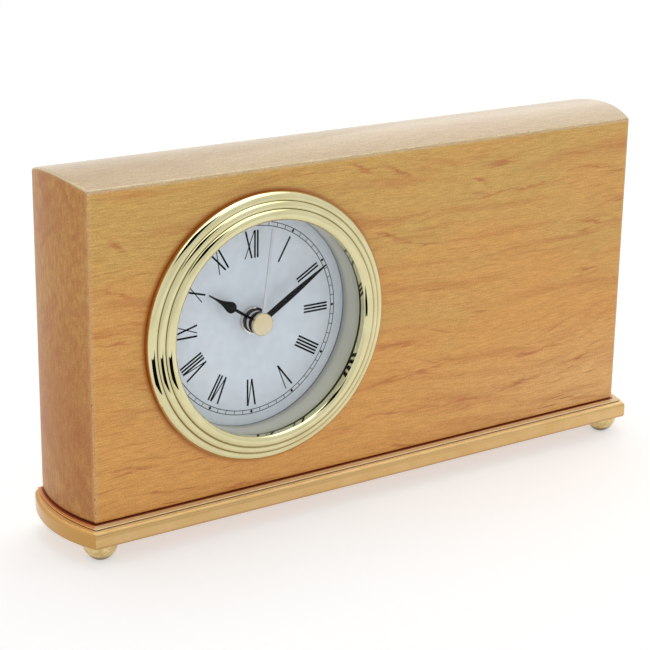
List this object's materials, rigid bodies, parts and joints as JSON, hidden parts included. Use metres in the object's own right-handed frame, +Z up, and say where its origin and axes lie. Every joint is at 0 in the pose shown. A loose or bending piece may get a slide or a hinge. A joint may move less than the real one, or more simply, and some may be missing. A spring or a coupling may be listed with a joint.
{
  "type": "wooden desk clock",
  "caption": "Bowed pale wooden block on a gilt moulding with ball feet, holding a round push-in quartz clock with a beaded gilt bezel and Roman dial.",
  "frame": {"origin": "on the table, under the middle of the base", "axes": "+X to the viewer's right along the block, +Y from the dial to the back, +Z up"},
  "size_m": [0.206, 0.038, 0.1083],
  "materials": {
    "wood": "clear satin lacquer over pale alder",
    "gilt": "polished gilt plating",
    "bezel_gilt": "bright pale gilt plating",
    "screw_steel": "zinc plated",
    "lens": "clear, flat",
    "reflector": "satin silver",
    "dial": "matt silver-white enamel",
    "black_case": "fine moulded texture",
    "band_rubber": "matt",
    "hand_black": "satin black",
    "hand_gilt": "polished",
    "nickel": "nickel plated",
    "wheel_plastic": "natural acetal",
    "bobbin_plastic": "moulded",
    "copper": "enamelled copper wire",
    "magnet": "ground ferrite",
    "stator_iron": "stamped",
    "board": "green laminate",
    "chip": "black resin",
    "cell_steel": "bright nickel"
  },
  "bodies": {
    "case": {"wood_block": "wood", "base_plate": "gilt", "base_screws": "screw_steel", "foot_front_left": "gilt", "foot_front_right": "gilt", "foot_rear_left": "gilt", "foot_rear_right": "gilt"},
    "insert": {"bezel": "bezel_gilt", "lens": "lens", "reflector_ring": "reflector", "dial": "dial", "housing": "black_case", "grip_band": "band_rubber", "movement_front": "black_case", "movement_cover": "black_case", "dial_washer": "band_rubber", "dial_nut": "nickel", "stator": "stator_iron", "coil_bobbin": "bobbin_plastic", "coil_winding": "copper", "circuit_board": "board", "circuit_chip": "chip", "quartz_crystal": "cell_steel", "battery": "cell_steel", "negative_contact": "nickel", "positive_contact": "nickel"},
    "second_train": {"second_hand": "hand_gilt", "second_wheel": "wheel_plastic"},
    "third_train": {"third_wheel": "wheel_plastic"},
    "minute_clutch": {"minute_wheel": "wheel_plastic"},
    "minute_train": {"minute_hand": "hand_black", "minute_arbor": "wheel_plastic"},
    "motion_work": {"motion_wheel": "wheel_plastic"},
    "hour_train": {"hour_hand": "hand_black", "hour_wheel": "wheel_plastic"},
    "knob": {"setting_knob": "black_case"},
    "idler": {"intermediate_wheel": "wheel_plastic"},
    "rotor": {"rotor_pinion": "wheel_plastic", "rotor_magnet": "magnet"},
    "door": {"battery_door": "black_case"}
  },
  "joints": [
    {"name": "insert_pull", "type": "slide", "parent": "case", "child": "insert", "axis": [0, -1, 0], "range_m": [0, 0.04]},
    {"name": "second_spin", "type": "hinge", "parent": "insert", "child": "second_train", "pos_m": [-0.0405, 0, 0.05944], "axis": [0, 1, 0], "continuous": true},
    {"name": "third_spin", "type": "hinge", "parent": "insert", "child": "third_train", "pos_m": [-0.04772, 0, 0.06666], "axis": [0, 1, 0], "continuous": true},
    {"name": "minute_wheel_spin", "type": "hinge", "parent": "insert", "child": "minute_clutch", "pos_m": [-0.0405, 0, 0.05944], "axis": [0, 1, 0], "continuous": true},
    {"name": "intermediate_spin", "type": "hinge", "parent": "insert", "child": "idler", "pos_m": [-0.03374, 0, 0.0619], "axis": [0, 1, 0], "continuous": true},
    {"name": "rotor_spin", "type": "hinge", "parent": "insert", "child": "rotor", "pos_m": [-0.02717, 0, 0.0643], "axis": [0, 1, 0], "continuous": true},
    {"name": "minute_spin", "type": "hinge", "parent": "insert", "child": "minute_train", "pos_m": [-0.0405, 0, 0.05944], "axis": [0, 1, 0], "continuous": true},
    {"name": "motion_spin", "type": "hinge", "parent": "insert", "child": "motion_work", "pos_m": [-0.0405, 0, 0.05104], "axis": [0, 1, 0], "continuous": true},
    {"name": "hour_spin", "type": "hinge", "parent": "insert", "child": "hour_train", "pos_m": [-0.0405, 0, 0.05944], "axis": [0, 1, 0], "continuous": true},
    {"name": "knob_turn", "type": "hinge", "parent": "insert", "child": "knob", "pos_m": [-0.0405, 0, 0.04264], "axis": [0, 1, 0], "continuous": true},
    {"name": "door_lift", "type": "slide", "parent": "insert", "child": "door", "axis": [0, 1, 0], "range_m": [0, 0.009]}
  ],
  "couplings": [
    {"joint": "third_spin", "follows": "second_spin", "ratio": -0.125},
    {"joint": "minute_wheel_spin", "follows": "second_spin", "ratio": 0.016667},
    {"joint": "intermediate_spin", "follows": "second_spin", "ratio": -5},
    {"joint": "rotor_spin", "follows": "second_spin", "ratio": 30},
    {"joint": "motion_spin", "follows": "minute_spin", "ratio": -0.33333},
    {"joint": "hour_spin", "follows": "minute_spin", "ratio": 0.083333},
    {"joint": "knob_turn", "follows": "minute_spin", "ratio": 1}
  ]
}
